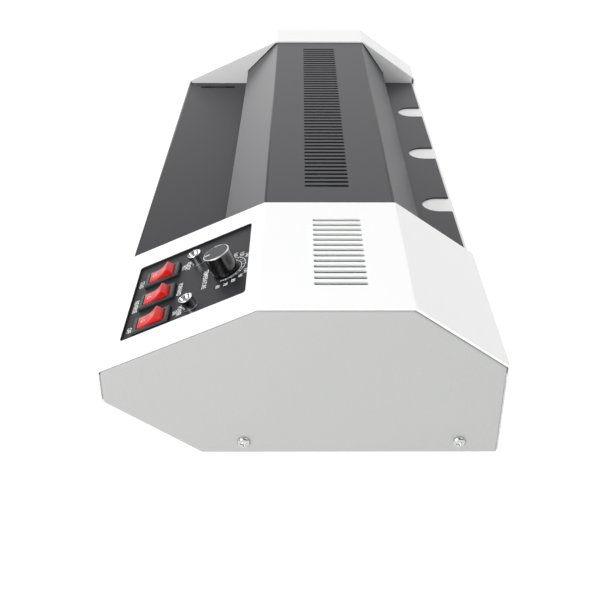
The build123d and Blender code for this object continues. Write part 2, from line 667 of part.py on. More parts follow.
# ---------------------------------------------------------------- rollers and their frame
def frame_plate(x_start):
    """Steel side plate with holes for the lower rollers and slots for the upper blocks."""
    inset = SHEET + 2.5
    inside = slab(
        sketch(outline(
            lip=inset, front_slope=inset, top=inset, rear_slope=inset,
            rear=2 * SHEET + 1, floor=SHEET, undercut=inset,
        )),
        x_start, x_start + FRAME_PLATE,
    )
    reach = PINION_Y + MOTOR_RADIUS + 3
    plate = inside & block((x_start, x_start + FRAME_PLATE), (FRONT_Y - 25, reach), (FLOOR + SHEET, TOP))
    half_slot = BLOCK[1] / 2 + BLOCK_CLEARANCE
    for y in (FRONT_Y, REAR_Y):
        plate -= rod(x_start - 1, x_start + FRAME_PLATE + 1, y, LOWER_Z, BUSH_RADIUS)
        plate -= block(
            (x_start - 1, x_start + FRAME_PLATE + 1),
            (y - half_slot, y + half_slot),
            (UPPER_Z - BLOCK[2] / 2 - BLOCK_CLEARANCE, spring_seat()),
        )
    return plate


def spring_seat():
    """Underside of the frame plate's top edge, over the springs."""
    return UPPER_Z + BLOCK[2] / 2 + SPRING_TURNS * 2.2


def tie_rod_places():
    return [(y, FLOOR + 14) for y in (FRONT_Y - 8, REAR_Y + 8)]


def tie_rods():
    """Bars that hold the two frame plates apart."""
    return [rod(LEFT_PLATE + FRAME_PLATE, RIGHT_PLATE, y, z, TIE_ROD) for y, z in tie_rod_places()]


def roller_core(y, z):
    """Steel core with turned-down journals, the right one long enough for the gear."""
    core = rod(ROLLER_LEFT, ROLLER_RIGHT, y, z, CORE_RADIUS)
    return core + rod(LEFT_PLATE - 3, JOURNAL_END, y, z, JOURNAL_RADIUS)


def roller_sleeve(y, z):
    sleeve = rod(ROLLER_LEFT, ROLLER_RIGHT, y, z, ROLLER_RADIUS)
    return sleeve - rod(ROLLER_LEFT - 1, ROLLER_RIGHT + 1, y, z, CORE_RADIUS)


def plate_middles():
    return [LEFT_PLATE + FRAME_PLATE / 2, RIGHT_PLATE + FRAME_PLATE / 2]


def roller_bushes():
    """Plain bushes of the lower rollers."""
    bushes = []
    for x in plate_middles():
        span = (x - BUSH_LENGTH / 2, x + BUSH_LENGTH / 2)
        for y in (FRONT_Y, REAR_Y):
            bush = rod(*span, y, LOWER_Z, BUSH_RADIUS)
            bushes.append(bush - rod(span[0] - 1, span[1] + 1, y, LOWER_Z, JOURNAL_RADIUS + RUNNING))
    return bushes


def bearing_blocks(y):
    """Sliding blocks of one upper roller, one in each frame plate."""
    blocks = []
    for x in plate_middles():
        shape = Pos(x, y, UPPER_Z) * Box(*BLOCK)
        blocks.append(shape - rod(x - 10, x + 10, y, UPPER_Z, JOURNAL_RADIUS + RUNNING))
    return blocks


def pressure_springs(y):
    """Coil springs between the blocks and the top of their slots."""
    low = UPPER_Z + BLOCK[2] / 2 + SPRING_WIRE
    height = spring_seat() - SPRING_WIRE - low
    coils = []
    for x in plate_middles():
        helix = Helix(pitch=height / SPRING_TURNS, height=height, radius=SPRING_RADIUS)
        start = helix @ 0
        wire = sweep(Plane(origin=start, z_dir=helix % 0) * Circle(SPRING_WIRE), helix, is_frenet=True)
        coils.append(Pos(x, y, low) * wire)
    return coils


# ---------------------------------------------------------------- gear train
def gear(teeth, x, y, z, bore, phase):
    """Spur gear across X with involute teeth; one tooth points at the phase angle from +Y."""
    pitch = GEAR_MODULE * teeth / 2
    pressure = radians(20)
    base = pitch * cos(pressure)
    tip = pitch + 0.9 * GEAR_MODULE
    root = pitch - 1.2 * GEAR_MODULE
    roll = tan(pressure) - pressure
    half_at_pitch = pi / (2 * teeth) - BACKLASH / (2 * pitch)

    def half_tooth(radius):
        angle = acos(min(1.0, base / radius))
        return half_at_pitch + roll - (tan(angle) - angle)

    flank = [max(base, root + 0.1) + (tip - max(base, root + 0.1)) * step / 4 for step in range(5)]
    profile = [(root, -half_tooth(flank[0]))] + [(r, -half_tooth(r)) for r in flank]
    profile += [(r, -a) for r, a in reversed(profile)]
    points = []
    for tooth in range(teeth):
        centre = radians(phase) + 2 * pi * tooth / teeth
        points += [(r * cos(centre + a), r * sin(centre + a)) for r, a in profile]
    wheel = Pos(0, y, z) * slab(sketch(points), x, x + GEAR_WIDTH)
    return wheel - rod(x - 1, x + GEAR_WIDTH + 1, y, z, bore)


def meshed_phase(phase, teeth, next_teeth, direction):
    """Phase that puts a gap of the next gear on the tooth that meets it."""
    gap = direction + 180 - (phase - direction) * teeth / next_teeth
    return gap + 180 / next_teeth


REAR_LOWER_PHASE = 0.0
REAR_UPPER_PHASE = meshed_phase(REAR_LOWER_PHASE, ROLLER_TEETH, ROLLER_TEETH, 90)
IDLER_PHASE = meshed_phase(REAR_LOWER_PHASE, ROLLER_TEETH, IDLER_TEETH, 180 + IDLER_ANGLE)
FRONT_LOWER_PHASE = meshed_phase(IDLER_PHASE, IDLER_TEETH, ROLLER_TEETH, 180 - IDLER_ANGLE)
FRONT_UPPER_PHASE = meshed_phase(FRONT_LOWER_PHASE, ROLLER_TEETH, ROLLER_TEETH, 90)
PINION_PHASE = meshed_phase(REAR_LOWER_PHASE, ROLLER_TEETH, PINION_TEETH, 0)


def roller_gear(y, z, phase):
    return gear(ROLLER_TEETH, GEAR_X, y, z, JOURNAL_RADIUS, phase)


def idler_gear():
    return gear(IDLER_TEETH, GEAR_X, IDLER_Y, IDLER_Z, IDLER_PIN + RUNNING, IDLER_PHASE)


def idler_pin():
    """Headed pin, fixed in the frame plate, that the idler turns on."""
    pin = rod(RIGHT_PLATE + FRAME_PLATE, JOURNAL_END, IDLER_Y, IDLER_Z, IDLER_PIN)
    return pin + rod(GEAR_X + GEAR_WIDTH + 0.3, JOURNAL_END + 1, IDLER_Y, IDLER_Z, IDLER_PIN + 1.5)


def motor_pinion():
    """Pinion in one piece with the motor's output shaft."""
    pinion = gear(PINION_TEETH, GEAR_X, PINION_Y, LOWER_Z, MOTOR_SHAFT, PINION_PHASE)
    return pinion + rod(GEAR_X, BRACKET_X + BRACKET_SHEET + 8, PINION_Y, LOWER_Z, MOTOR_SHAFT)


def drive_motor():
    """Geared motor: gearbox, can and end boss."""
    x = BRACKET_X + BRACKET_SHEET
    gearbox = rod(x, x + 10, PINION_Y, LOWER_Z, MOTOR_RADIUS)
    can = rod(x + 10, x + MOTOR_LENGTH, PINION_Y, LOWER_Z, MOTOR_RADIUS * 0.85)
    boss = rod(x + MOTOR_LENGTH, x + MOTOR_LENGTH + 2, PINION_Y, LOWER_Z, MOTOR_RADIUS * 0.3)
    bore = rod(x - 1, x + 8.5, PINION_Y, LOWER_Z, MOTOR_SHAFT + RUNNING)
    return gearbox + can + boss - bore


def motor_bracket():
    """Plate that carries the motor, on three posts from the frame plate."""
    span = (BRACKET_X, BRACKET_X + BRACKET_SHEET)
    reach = MOTOR_RADIUS + 2
    box = block(span, (PINION_Y - 10, PINION_Y + reach), (LOWER_Z - reach, LOWER_Z + reach))
    inset = SHEET + 2.5
    inside = slab(sketch(outline(rear=inset, rear_slope=inset, top=inset)), *span)
    bracket = box & inside
    for dy, dz in ((0.0, -18.5), (19.5, 0.0), (0.0, 20.5)):
        bracket += rod(RIGHT_PLATE + FRAME_PLATE, BRACKET_X, PINION_Y + dy, LOWER_Z + dz, POST_RADIUS)
    return bracket - rod(span[0] - 1, span[1] + 1, PINION_Y, LOWER_Z, MOTOR_SHAFT + 2)


# ---------------------------------------------------------------- heating and electrics
def heating_plate(z_start):
    middle = (FRONT_Y + REAR_Y) / 2
    width, height = HEATING_PLATE
    plate = block(
        (LEFT_PLATE + FRAME_PLATE, RIGHT_PLATE),
        (middle - width / 2, middle + width / 2),
        (z_start, z_start + height),
    )
    return plate


def heat_channel():
    """Hollow rib along the front half of the upper plate, which carries heat up to the cover."""
    width, height = HEAT_CHANNEL
    middle = (FRONT_Y + REAR_Y) / 2
    span = (LEFT_PLATE + FRAME_PLATE, RIGHT_PLATE)
    low = upper_heating_z() + HEATING_PLATE[1]
    rear = middle + HEATER_STEP - 0.5
    outer = block(span, (rear - width, rear), (low, low + height))
    inner = block(
        (span[0] - 1, span[1] + 1),
        (rear - width + CHANNEL_WALL, rear - CHANNEL_WALL),
        (low, low + height - CHANNEL_WALL),
    )
    return outer - inner


def strip_heaters():
    """Flat heaters: one under the lower plate, one on the rear half of the upper plate."""
    middle = (FRONT_Y + REAR_Y) / 2
    width, height = HEATER
    span = (ROLLER_LEFT + 4, ROLLER_RIGHT - 4)
    low = lower_heating_z() - height
    high = upper_heating_z() + HEATING_PLATE[1]
    under = block(span, (middle - width / 2, middle + width / 2), (low, low + height))
    over = block(span, (middle + HEATER_STEP, middle + width / 2 + HEATER_STEP), (high, high + height))
    return [under, over]


def lower_heating_z():
    return NIP_Z - POUCH_GAP / 2 - HEATING_PLATE[1]


def upper_heating_z():
    return NIP_Z + POUCH_GAP / 2


def control_board():
    """Circuit board with transformer, relay and two capacitors, on four pillars."""
    x0, x1 = BRACKET_X + 8, END - 22
    y0, y1 = FRONT + UNDERCUT + 8, FRONT + UNDERCUT + 52
    z = FLOOR + SHEET + 7
    board = block((x0, x1), (y0, y1), (z, z + 1.6))
    for x in (x0 + 5, x1 - 5):
        for y in (y0 + 5, y1 - 5):
            board += post(x, y, FLOOR + SHEET, z, 3)
    board += block((x0 + 10, x0 + 38), (y0 + 8, y0 + 34), (z, z + 20))
    board += block((x0 + 46, x0 + 62), (y0 + 10, y0 + 30), (z, z + 14))
    for y in (y0 + 14, y0 + 28):
        board += post(x1 - 8, y, z, z + 14, 4)
    return board


# ---------------------------------------------------------------- every piece
def pieces():
    """Name and shape of each separate piece."""
    yield "base_tray", base_tray()
    yield "control_end_cover", control_end_cover()
    yield "far_end_cover", far_end_cover()
    yield "control_end_plate", end_plate(1)
    yield "far_end_plate", end_plate(-1)
    yield "control_inner_wall", inner_wall(CONTROL_WALL)
    yield "far_inner_wall", inner_wall(FAR_WALL - SHEET)
    yield "middle_cover", middle_cover()
    yield "feed_table", feed_table()
    yield "exit_tray", exit_tray()
    yield "control_panel", control_panel()
    for name, x in SWITCHES.items():
        yield name + "_switch_housing", switch_housing(x)
        yield name + "_rocker", rocker(x)
    yield "temperature_knob", temperature_knob()
    yield "control_shaft", control_shaft()
    yield "temperature_control", temperature_control()
    yield "control_nut", control_nut()
    for name, x in LAMPS.items():
        yield name + "_lamp_bezel", lamp_bezel(x)
        yield name + "_lamp_lens", lamp_lens(x)
    yield "end_plate_screws", Compound(end_plate_screws())
    yield "cover_screws", Compound(cover_screws())
    yield "rubber_feet", Compound(rubber_feet())
    yield "foot_screws", Compound(foot_screws())
    yield "mains_inlet", mains_inlet()
    yield "fuse_holder", fuse_holder()
    yield "far_frame_plate", frame_plate(LEFT_PLATE)
    yield "control_frame_plate", frame_plate(RIGHT_PLATE)
    yield "tie_rods", Compound(tie_rods())
    rollers = {
        "front_lower": (FRONT_Y, LOWER_Z, FRONT_LOWER_PHASE),
        "rear_lower": (REAR_Y, LOWER_Z, REAR_LOWER_PHASE),
        "front_upper": (FRONT_Y, UPPER_Z, FRONT_UPPER_PHASE),
        "rear_upper": (REAR_Y, UPPER_Z, REAR_UPPER_PHASE),
    }
    for name, (y, z, phase) in rollers.items():
        yield name + "_roller_core", roller_core(y, z)
        yield name + "_roller_sleeve", roller_sleeve(y, z)
        yield name + "_roller_gear", roller_gear(y, z, phase)
    yield "roller_bushes", Compound(roller_bushes())
    for name, y in (("front", FRONT_Y), ("rear", REAR_Y)):
        yield name + "_bearing_blocks", Compound(bearing_blocks(y))
        yield name + "_pressure_springs", Compound(pressure_springs(y))
    yield "idler_gear", idler_gear()
    yield "idler_pin", idler_pin()
    yield "motor_pinion", motor_pinion()
    yield "drive_motor", drive_motor()
    yield "motor_bracket", motor_bracket()
    yield "lower_heating_plate", heating_plate(lower_heating_z())
    yield "upper_heating_plate", heating_plate(upper_heating_z()) + heat_channel()
    yield "strip_heaters", Compound(strip_heaters())
    yield "control_board", control_board()


os.makedirs("parts", exist_ok=True)
for piece_name, piece in pieces():
    save(piece_name, piece)
    print(piece_name, len(piece.solids()), round(sum(s.volume for s in piece.solids()), 1))
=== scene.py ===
# %% [markdown]
# # A steel-cased pouch laminator
# This lesson dresses a finished CAD model. The CAD holds every size and every joint, so nothing here
# moves or resizes it. Each cell gives a piece its real surface, or swaps a plain CAD piece for one
# modelled finely enough to be looked at closely. All lengths are in metres.

# %% Load the frame
import json
from math import asin, atan2, cos, pi, radians, sin

import bmesh
import bpy
from mathutils import Matrix, Vector


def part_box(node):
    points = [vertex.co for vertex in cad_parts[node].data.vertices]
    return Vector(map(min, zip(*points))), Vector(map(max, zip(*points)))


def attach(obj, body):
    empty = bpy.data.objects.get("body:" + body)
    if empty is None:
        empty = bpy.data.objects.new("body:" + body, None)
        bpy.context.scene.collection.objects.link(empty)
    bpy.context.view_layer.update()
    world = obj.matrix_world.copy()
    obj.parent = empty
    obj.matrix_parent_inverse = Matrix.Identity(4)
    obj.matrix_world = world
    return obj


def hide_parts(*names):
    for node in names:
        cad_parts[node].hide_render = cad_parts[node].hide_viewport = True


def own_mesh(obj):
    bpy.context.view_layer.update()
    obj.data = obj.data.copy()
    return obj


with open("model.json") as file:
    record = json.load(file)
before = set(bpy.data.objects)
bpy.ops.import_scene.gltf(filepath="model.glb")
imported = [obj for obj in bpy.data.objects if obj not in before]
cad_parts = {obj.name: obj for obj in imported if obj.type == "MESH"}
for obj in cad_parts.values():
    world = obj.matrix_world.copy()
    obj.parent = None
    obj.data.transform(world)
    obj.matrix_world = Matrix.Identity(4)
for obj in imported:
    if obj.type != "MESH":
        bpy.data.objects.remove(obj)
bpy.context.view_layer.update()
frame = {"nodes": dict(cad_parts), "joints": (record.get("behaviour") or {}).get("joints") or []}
nodes = frame["nodes"]
joints = {joint["name"]: joint for joint in frame["joints"]}
MM = 0.001
print("CAD nodes:", len(nodes))

# %% [markdown]
# ## Camera
# The camera stands close to the control end and looks down along the machine. A normal lens that
# close makes the near end large and the far end small, so the lens and the distance both matter. The
# camera is placed by its own axes: forward, right and up. Angles are in radians, the lens in mm.

# %% Camera
END_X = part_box("control_end_plate")[1][0]
CAMERA_PLACE = Vector((END_X + 0.3839, -0.0017, 0.3306))
LENS = 55.07
TILT, TURN, ROLL = 0.5444, 0.0097, 0.0048
NEAR_CLIP = 0.01


def make_camera(name):
    """A camera that looks down along -X from past the control end."""
    forward = Vector((-cos(TILT) * cos(TURN), cos(TILT) * sin(TURN), -sin(TILT)))
    level = forward.cross(Vector((0, 0, 1))).normalized()
    over = level.cross(forward)
    right = level * cos(ROLL) + over * sin(ROLL)
    up = over * cos(ROLL) - level * sin(ROLL)
    data = bpy.data.cameras.new(name)
    data.lens = LENS
    data.clip_start = NEAR_CLIP
    camera = bpy.data.objects.new(name, data)
    bpy.context.scene.collection.objects.link(camera)
    camera.matrix_world = Matrix((
        (right.x, up.x, -forward.x, CAMERA_PLACE.x),
        (right.y, up.y, -forward.y, CAMERA_PLACE.y),
        (right.z, up.z, -forward.z, CAMERA_PLACE.z),
        (0, 0, 0, 1),
    ))
    return camera


bpy.context.scene.camera = make_camera("product_camera")
print("camera", tuple(round(v, 3) for v in CAMERA_PLACE))

# %% [markdown]
# ## Colours and nodes
# Paint colours are easiest to choose as hex values, but light adds up in linear values, so one
# function turns one into the other. A second small function adds a shader node with its settings and
# its links. The finishes below are all built from these two.

# %% Colour and node helpers
def colour(code, alpha=1.0):
    """An sRGB hex code as the linear RGBA that a shader wants."""
    values = [int(code[i:i + 2], 16) / 255 for i in (1, 3, 5)]
    linear = [v / 12.92 if v <= 0.04045 else ((v + 0.055) / 1.055) ** 2.4 for v in values]
    return (*linear, alpha)


def node(tree, kind, inputs=None, **settings):
    """Add one shader node. An input is a plain value, or (node, output) for a link."""
    made = tree.nodes.new(kind)
    for name, value in settings.items():
        setattr(made, name, value)
    for name, value in (inputs or {}).items():
        if isinstance(value, tuple) and isinstance(value[0], bpy.types.Node):
            tree.links.new(value[0].outputs[value[1]], made.inputs[name])
        else:
            made.inputs[name].default_value = value
    return made


def blank(name):
    """A material with only its surface output and a Principled shader, joined up."""
    material = bpy.data.materials.new(name)
    material.use_nodes = True
    tree = material.node_tree
    tree.nodes.clear()
    shader = node(tree, "ShaderNodeBsdfPrincipled")
    node(tree, "ShaderNodeOutputMaterial", {"Surface": (shader, "BSDF")})
    return material, tree, shader


def finish(material, *names):
    """Give CAD nodes a material in place of the plain one they came with."""
    for name in names:
        for slot in nodes[name].material_slots:
            slot.material = material


print("mid grey #808080 is", round(colour("#808080")[0], 3), "in linear light")

# %% [markdown]
# ## Powder coat
# Powder coat is dry paint melted on to steel. It flows into a skin with a faint orange peel, whose
# ripples are half a millimetre to two millimetres apart and up to a tenth deep. One function makes
# all six coats of this machine, because they differ only in colour, gloss and ripple. Two noises do
# the work: a fine one bends the surface, and a slow one shifts the tone as an uneven coat does.

# %% Powder coat
TONE_SPACING = 60 * MM


def powder_coat(name, code, roughness, peel, depth, drift=0.03, ior=1.5, gloss_drift=0.05):
    """Melted paint on steel: peel is the ripple's spacing, depth its height."""
    material, tree, shader = blank(name)
    place = node(tree, "ShaderNodeTexCoord")
    slow = node(tree, "ShaderNodeTexNoise",
                {"Vector": (place, "Object"), "Scale": 1 / TONE_SPACING, "Detail": 3.0})
    base = colour(code)
    darker = tuple(v * (1 - 2 * drift) for v in base[:3]) + (1.0,)
    tone = node(tree, "ShaderNodeMixRGB",
                {"Fac": (slow, "Fac"), "Color1": base, "Color2": darker})
    tree.links.new(tone.outputs["Color"], shader.inputs["Base Color"])
    ripple = node(tree, "ShaderNodeTexNoise",
                  {"Vector": (place, "Object"), "Scale": 1 / peel, "Detail": 2.5, "Roughness": 0.55})
    gloss = node(tree, "ShaderNodeMapRange",
                 {"Value": (ripple, "Fac"), "To Min": roughness - gloss_drift,
                  "To Max": roughness + gloss_drift})
    tree.links.new(gloss.outputs["Result"], shader.inputs["Roughness"])
    bump = node(tree, "ShaderNodeBump",
                {"Height": (ripple, "Fac"), "Distance": depth, "Strength": 1.0})
    tree.links.new(bump.outputs["Normal"], shader.inputs["Normal"])
    shader.inputs["IOR"].default_value = ior
    return material


# Smooth white on the covers, the tray and the inner walls.
white_coat = powder_coat("white_powder_coat", "#EFF0EF", 0.34, 1.6 * MM, 0.012 * MM, 0.01)
# The end plates have a grey-white coat with a deep orange peel.
end_coat = powder_coat("grey_white_orange_peel_coat", "#B3B4B1", 0.50, 1.3 * MM, 0.10 * MM, 0.02)
# Satin black on the middle cover and exit tray; the feed table is a little darker and duller.
black_coat = powder_coat("satin_black_powder_coat", "#2A2A30", 0.40, 0.8 * MM, 0.012 * MM, 0.05)
table_coat = powder_coat("dark_feed_table_coat", "#1D1D24", 0.44, 0.8 * MM, 0.012 * MM, 0.05, 1.42)
# The panel is the dullest, so its print stays readable. The inner frame plates are coloured near black
# as painted shade, so the vents read dark like the shade inside the case.
panel_coat = powder_coat("satin_black_panel_coat", "#17171C", 0.50, 0.6 * MM, 0.010 * MM, 0.05, 1.33)
vent_shade_frame_coat = powder_coat("frame_coat_darkened_as_vent_shade", "#1C1D1E", 0.55, 0.8 * MM, 0.010 * MM, 0.05)

finish(white_coat, "base_tray", "control_end_cover", "far_end_cover", "control_inner_wall",
       "far_inner_wall")
finish(end_coat, "control_end_plate", "far_end_plate")
finish(black_coat, "middle_cover", "exit_tray")
finish(table_coat, "feed_table")
finish(panel_coat, "control_panel")
# Painted shade: the frame plates seen through the vents get the near-black coat.
finish(vent_shade_frame_coat, "far_frame_plate", "control_frame_plate")
print("powder coats: white, end plate, black, feed table, panel, frame")

# %% [markdown]
# ## Moulded plastic and rubber
# Moulded parts take the texture of their mould. Nylon switch housings are dull and finely sparked,
# a rocker is glossy, and a knob is polished black. Roughness carries most of that, and a shallow
# grain breaks up the highlight.

# %% Plastics and rubber
CLEAR_ROUGHNESS = 0.08


def moulded(name, code, roughness, grain, depth, ior=1.5, coat=0.0):
    """A moulded surface: grain is the spacing of the mould's texture, depth its height."""
    material, tree, shader = blank(name)
    shader.inputs["Base Color"].default_value = colour(code)
    shader.inputs["IOR"].default_value = ior
    shader.inputs["Coat Weight"].default_value = coat
    shader.inputs["Coat Roughness"].default_value = CLEAR_ROUGHNESS
    place = node(tree, "ShaderNodeTexCoord")
    sparks = node(tree, "ShaderNodeTexNoise",
                  {"Vector": (place, "Object"), "Scale": 1 / grain, "Detail": 2.0})
    gloss = node(tree, "ShaderNodeMapRange",
                 {"Value": (sparks, "Fac"), "To Min": roughness * 0.8, "To Max": roughness * 1.2})
    tree.links.new(gloss.outputs["Result"], shader.inputs["Roughness"])
    bump = node(tree, "ShaderNodeBump", {"Height": (sparks, "Fac"), "Distance": depth})
    tree.links.new(bump.outputs["Normal"], shader.inputs["Normal"])
    return material


# Switch parts: dull nylon housings and glossy polycarbonate rockers.
switch_nylon = moulded("black_switch_nylon", "#1B1C1E", 0.42, 0.5 * MM, 0.006 * MM)
rocker_red = moulded("glossy_red_polycarbonate", "#D3130D", 0.32, 2.0 * MM, 0.006 * MM, 1.45)
# The knob is polished phenolic with a dull face, and all print is matt white ink.
knob_black = moulded("polished_black_phenolic", "#08080A", 0.10, 3.0 * MM, 0.004 * MM, 1.6, 0.6)
knob_face = moulded("dull_grey_knob_face", "#28292B", 0.50, 0.7 * MM, 0.006 * MM)
print_white = moulded("white_screen_print", "#E9EAEC", 0.55, 0.6 * MM, 0.002 * MM)
# Rubbers: matt feet, and roller sleeves of silicone ground to size.
foot_rubber = moulded("black_foot_rubber", "#19191A", 0.70, 0.8 * MM, 0.02 * MM, 1.52)
silicone = moulded("ground_red_silicone", "#9A3A30", 0.60, 0.8 * MM, 0.01 * MM, 1.41)
# Inside parts: black heater strips and gears, and the board's green solder mask.
heater_mat = moulded("black_heater_mat", "#141415", 0.62, 1.0 * MM, 0.02 * MM)
gear_nylon = moulded("black_gear_nylon", "#222324", 0.45, 1.0 * MM, 0.006 * MM)
board_mask = moulded("green_solder_mask", "#1F5B33", 0.35, 1.5 * MM, 0.01 * MM, 1.5, 0.3)

finish(switch_nylon, "heat_switch_housing", "direction_switch_housing", "power_switch_housing",
       "mains_inlet", "fuse_holder", "temperature_control",
       "front_bearing_blocks", "rear_bearing_blocks")
finish(foot_rubber, "rubber_feet")
finish(silicone, *[name for name in nodes if name.endswith("roller_sleeve")])
finish(heater_mat, "strip_heaters")
finish(gear_nylon, "motor_pinion", *[name for name in nodes if name.endswith("_gear")])
finish(board_mask, "control_board")
print("plastics and rubbers: nylon, rocker, knob, print, feet, sleeves, heaters, gears, board")

# %% [markdown]
# ## Bare and plated metal
# A metal's colour is the colour of its reflection, so its base colour is light and its roughness
# says how it was worked. Plating is nearly a mirror, turned steel keeps rings round its axis, and an
# extrusion keeps long scratches. A noise stretched along one axis gives that grain.

# %% Metals
def worked_metal(name, code, roughness, grain=(1.0, 1.0, 1.0), spacing=0.5 * MM, depth=0.004 * MM):
    """Bare metal: grain stretches the working marks, smaller meaning longer along that axis."""
    material, tree, shader = blank(name)
    shader.inputs["Base Color"].default_value = colour(code)
    shader.inputs["Metallic"].default_value = 1.0
    place = node(tree, "ShaderNodeTexCoord")
    turned = node(tree, "ShaderNodeMapping", {"Vector": (place, "Object"), "Scale": grain})
    marks = node(tree, "ShaderNodeTexNoise",
                 {"Vector": (turned, "Vector"), "Scale": 1 / spacing, "Detail": 3.0})
    gloss = node(tree, "ShaderNodeMapRange",
                 {"Value": (marks, "Fac"), "To Min": roughness * 0.7, "To Max": roughness * 1.3})
    tree.links.new(gloss.outputs["Result"], shader.inputs["Roughness"])
    bump = node(tree, "ShaderNodeBump", {"Height": (marks, "Fac"), "Distance": depth})
    tree.links.new(bump.outputs["Normal"], shader.inputs["Normal"])
    return material


# Plating is nearly a mirror on the lamps, a little duller on the screws.
chrome = worked_metal("bright_chrome_plate", "#D9DADC", 0.06, spacing=3 * MM, depth=0.003 * MM)
zinc_screw = worked_metal("bright_zinc_plate", "#CFD0CE", 0.14, spacing=1 * MM)
# A turned ring, plated brackets, turned roller cores and rods, drawn heating plates.
knob_rim = worked_metal("turned_aluminium_rim", "#E6E7E8", 0.16, spacing=0.6 * MM)
zinc_sheet = worked_metal("zinc_plated_sheet", "#B4B7B8", 0.35, spacing=4 * MM, depth=0.01 * MM)
turned_steel = worked_metal("turned_steel", "#B9B9B6", 0.25, (1.0, 0.05, 0.05))
drawn_aluminium = worked_metal("extruded_aluminium", "#D5D7D8", 0.22, (0.03, 1.0, 1.0), 0.8 * MM)
# Bushes of sintered bronze, springs of drawn wire, and the motor's pressed can.
bronze = worked_metal("sintered_bronze", "#A9793F", 0.40)
spring_wire = worked_metal("drawn_spring_wire", "#8C8D8F", 0.28)
motor_steel = worked_metal("motor_can_steel", "#85888B", 0.38)

finish(zinc_screw, "end_plate_screws", "cover_screws", "foot_screws", "control_nut",
       "control_shaft")
finish(zinc_sheet, "motor_bracket", "idler_pin")
finish(turned_steel, "tie_rods", *[name for name in nodes if name.endswith("roller_core")])
finish(drawn_aluminium, "lower_heating_plate", "upper_heating_plate")
finish(bronze, "roller_bushes")
finish(motor_steel, "drive_motor")
print("metals: chrome, zinc, rim, sheet, steel, aluminium, bronze, spring, motor")

# %% [markdown]
# ## Clear lamp lens
# The lenses are clear polycarbonate with a frosted seat, so they read as pale grey, not as a hole.
# Transmission with some roughness does that without any light of its own.

# %% Lens material
lens_clear, lens_tree, lens_shader = blank("frosted_clear_polycarbonate")
lens_shader.inputs["Base Color"].default_value = colour("#D8DADC")
lens_shader.inputs["IOR"].default_value = 1.58
lens_shader.inputs["Transmission Weight"].default_value = 0.6
lens_place = node(lens_tree, "ShaderNodeTexCoord")
lens_cloud = node(lens_tree, "ShaderNodeTexNoise",
                  {"Vector": (lens_place, "Object"), "Scale": 1 / (1.5 * MM)})
lens_gloss = node(lens_tree, "ShaderNodeMapRange",
                  {"Value": (lens_cloud, "Fac"), "To Min": 0.12, "To Max": 0.3})
lens_tree.links.new(lens_gloss.outputs["Result"], lens_shader.inputs["Roughness"])
print("lens material done")

# %% [markdown]
# ## Working on the sloped panel
# The controls stand on a sloped panel. It is easier to model each one flat at the world's origin and
# then lay it on the slope, so this cell works out the slope's own axes: along the machine, up the
# slope, and straight out of it. The knob's joint gives the last one.

# %% Slope axes and mesh helpers
MERGE = 1e-6
dial = joints["temperature_dial"]
OUT = Vector(dial["axis"]).normalized()
ALONG = Vector((1, 0, 0))
UPWARD = OUT.cross(ALONG)
COVER_POINT = Vector(dial["pos_m"])
PANEL_LEVEL = max((v.co - COVER_POINT).dot(OUT) for v in nodes["control_panel"].data.vertices)


def on_slope(point, lift):
    """Matrix that lays a flat model on the slope at a point, lifted clear of the panel."""
    flat = Vector(point) - COVER_POINT
    base = COVER_POINT + flat - OUT * flat.dot(OUT) + OUT * (PANEL_LEVEL + lift)
    return Matrix((
        (ALONG.x, UPWARD.x, OUT.x, base.x),
        (ALONG.y, UPWARD.y, OUT.y, base.y),
        (ALONG.z, UPWARD.z, OUT.z, base.z),
        (0, 0, 0, 1),
    ))


def centre(name):
    """Middle of a CAD node's box."""
    low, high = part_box(name)
    return (Vector(low) + Vector(high)) / 2


def piece(name, shape, material, body, place=None, smooth=35):
    """Turn a bmesh into an object with its place in its mesh, and let it ride on a body."""
    if place is not None:
        bmesh.ops.transform(shape, matrix=place, verts=shape.verts)
    mesh = bpy.data.meshes.new(name)
    shape.to_mesh(mesh)
    shape.free()
    mesh.materials.append(material)
    mesh.shade_smooth()
    mesh.set_sharp_from_angle(angle=radians(smooth))
    made = bpy.data.objects.new(name, mesh)
    bpy.context.scene.collection.objects.link(made)
    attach(made, body)
    return made


def in_mm(outline):
    """An (r, z) outline written in millimetres, as metres."""
    return [(r * MM, z * MM) for r, z in outline]


def lathe(points, steps=96):
    """Spin an (r, z) outline round Z into a closed turned shape."""
    shape = bmesh.new()
    ring = [shape.verts.new((r, 0, z)) for r, z in points]
    edges = [shape.edges.new(pair) for pair in zip(ring, ring[1:])]
    bmesh.ops.spin(shape, geom=ring + edges, cent=(0, 0, 0), axis=(0, 0, 1), angle=2 * pi,
                   steps=steps, use_merge=True)
    bmesh.ops.remove_doubles(shape, verts=shape.verts, dist=MERGE)
    bmesh.ops.recalc_face_normals(shape, faces=shape.faces)
    return shape


print("panel lies", round(-PANEL_LEVEL / MM, 2), "mm below the cover")

# %% [markdown]
# ## Rockers
# A rocker turns on a pin, so its two end faces are arcs about that pin, and its top is dished for a
# finger. Each arc is one vertex spun about its centre. The closed outline becomes a face, the face
# is drawn out to the rocker's width, and its rims are bevelled. It is modelled level and then tilted
# to its rest position, front end down.

# %% Rockers
ROCKER_RADIUS = 7.74 * MM
ROCKER_WIDTH = 9.6 * MM
EDGE_ANGLE = radians(37)
LOW_ANGLE = radians(-10)
DISH = 1.2 * MM
REST_TILT = radians(14.5)
RIM_BLEND = 0.45 * MM
ARC_STEPS, DISH_STEPS = 10, 16
SWITCHES = ("heat", "direction", "power")
CHORD = ROCKER_RADIUS * cos(EDGE_ANGLE)
CREST = ROCKER_RADIUS * sin(EDGE_ANGLE)
DISH_RADIUS = (CHORD ** 2 + DISH ** 2) / (2 * DISH)


